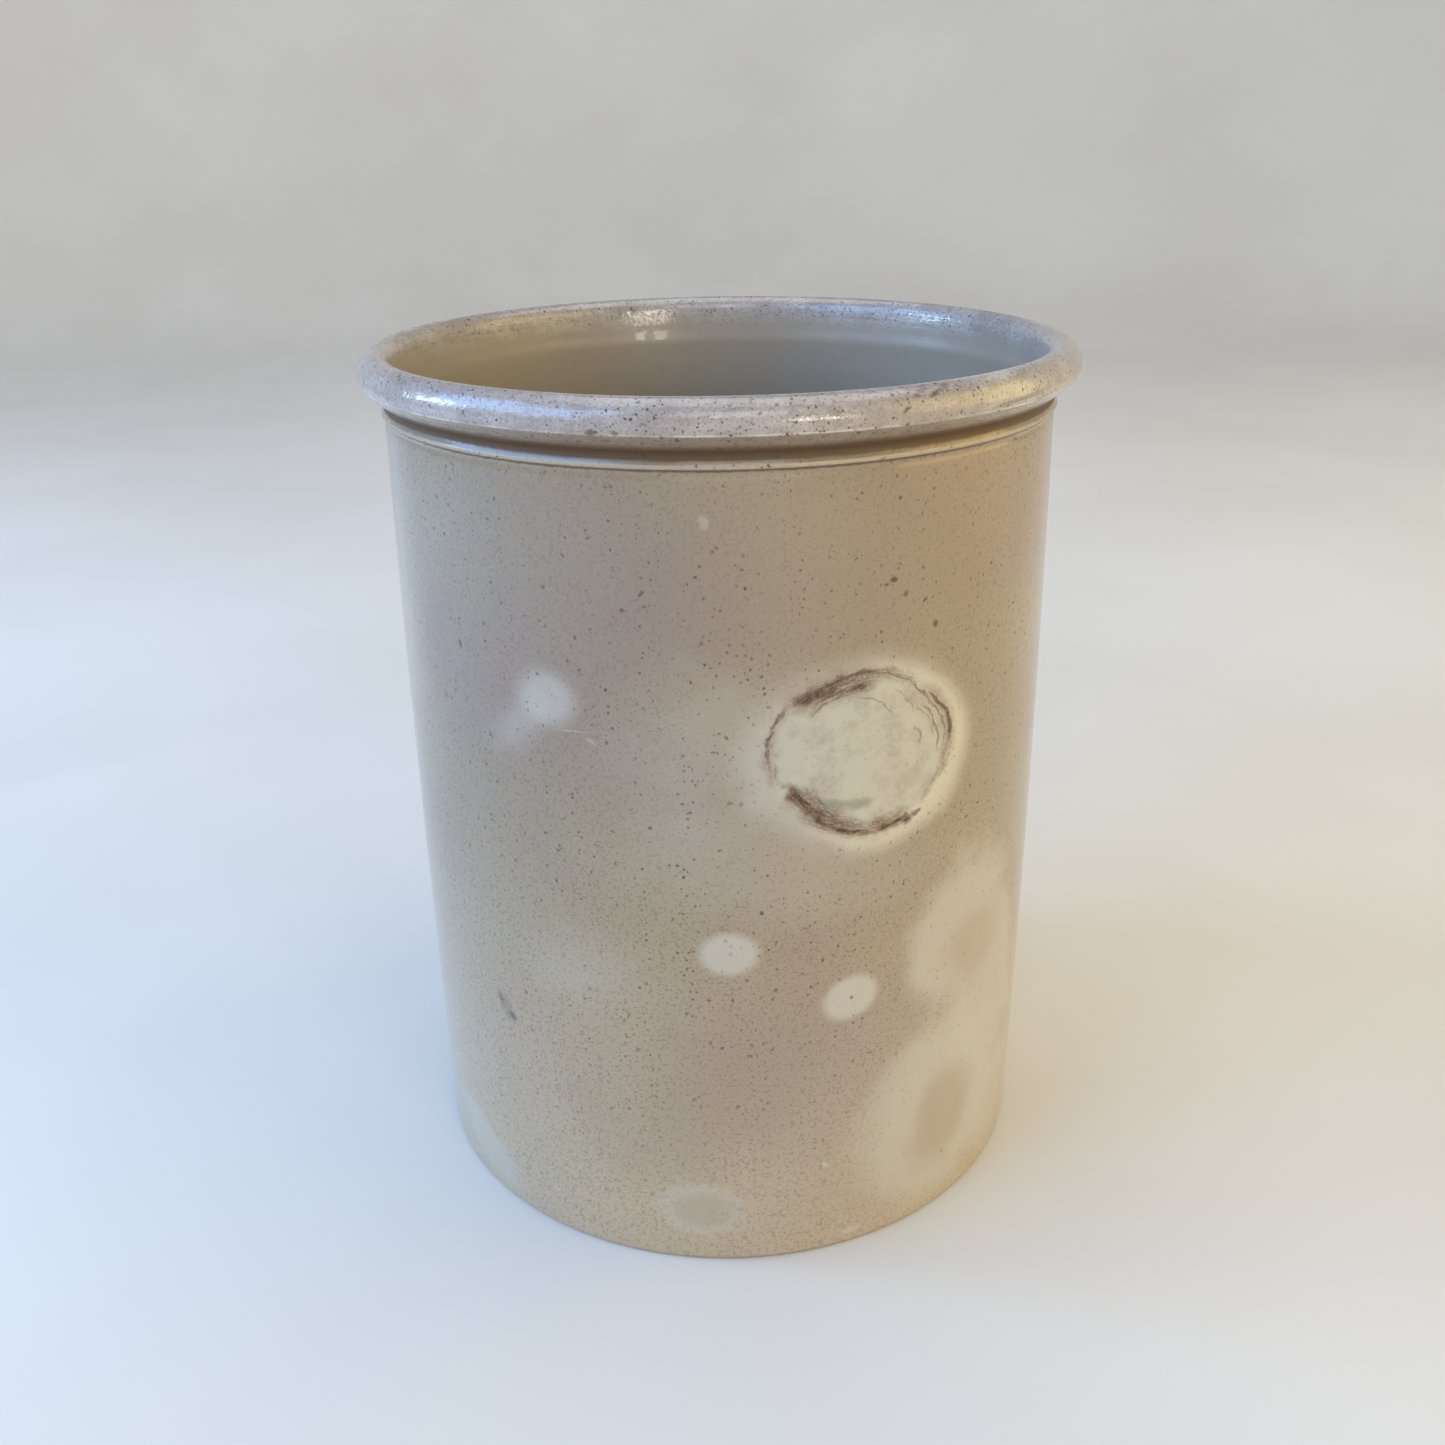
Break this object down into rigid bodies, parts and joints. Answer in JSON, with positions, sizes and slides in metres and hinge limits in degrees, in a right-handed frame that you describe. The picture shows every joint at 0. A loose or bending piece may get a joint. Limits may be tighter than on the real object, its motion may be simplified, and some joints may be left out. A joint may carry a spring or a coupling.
{
  "type": "butter crock",
  "caption": "Straight-sided glazed stoneware crock with a rolled rim over a small bead and groove, open at the top, for keeping butter and other food.",
  "frame": {"origin": "centre of the base, on the surface that the crock stands on", "axes": "+Z along the crock's own axis, up out of its mouth; the body is round, so +X and +Y are free: -Y is the side that carries the round kiln mark in the glaze, and +X is to the right when that side is faced"},
  "size_m": [0.199, 0.199, 0.245],
  "materials": {
    "glaze": "gloss"
  },
  "bodies": {
    "root": {"crock_body": "glaze"}
  },
  "joints": []
}
